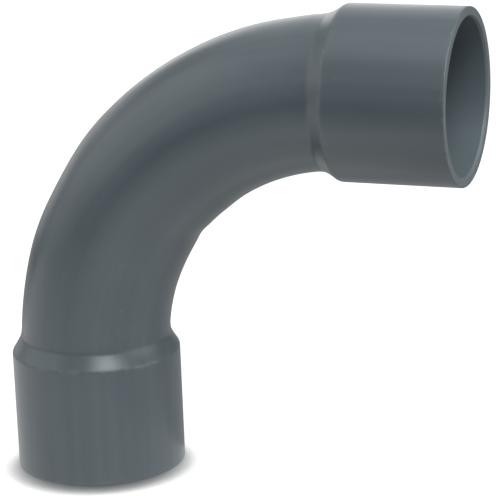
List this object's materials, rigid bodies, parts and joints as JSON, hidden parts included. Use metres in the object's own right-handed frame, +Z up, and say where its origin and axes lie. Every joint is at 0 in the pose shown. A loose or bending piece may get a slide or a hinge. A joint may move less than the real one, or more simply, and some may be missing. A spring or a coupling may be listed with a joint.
{
  "type": "pvc conduit elbow",
  "caption": "Right-angle plastic conduit bend: a smoothly curved pipe with a plain belled socket at each mouth, for turning a conduit run round a corner.",
  "frame": {"origin": "middle of the underside of the bounding box, on the plane of the lower mouth's rim", "axes": "+Z up and back along the lower socket, which opens down; +X out of the upper mouth; Y = 0 is the mirror plane that holds both socket axes"},
  "size_m": [0.1594, 0.0572, 0.1594],
  "materials": {
    "grey_pvc": "satin"
  },
  "bodies": {
    "root": {"bend_tube": "grey_pvc", "lower_socket": "grey_pvc", "upper_socket": "grey_pvc"}
  },
  "joints": []
}
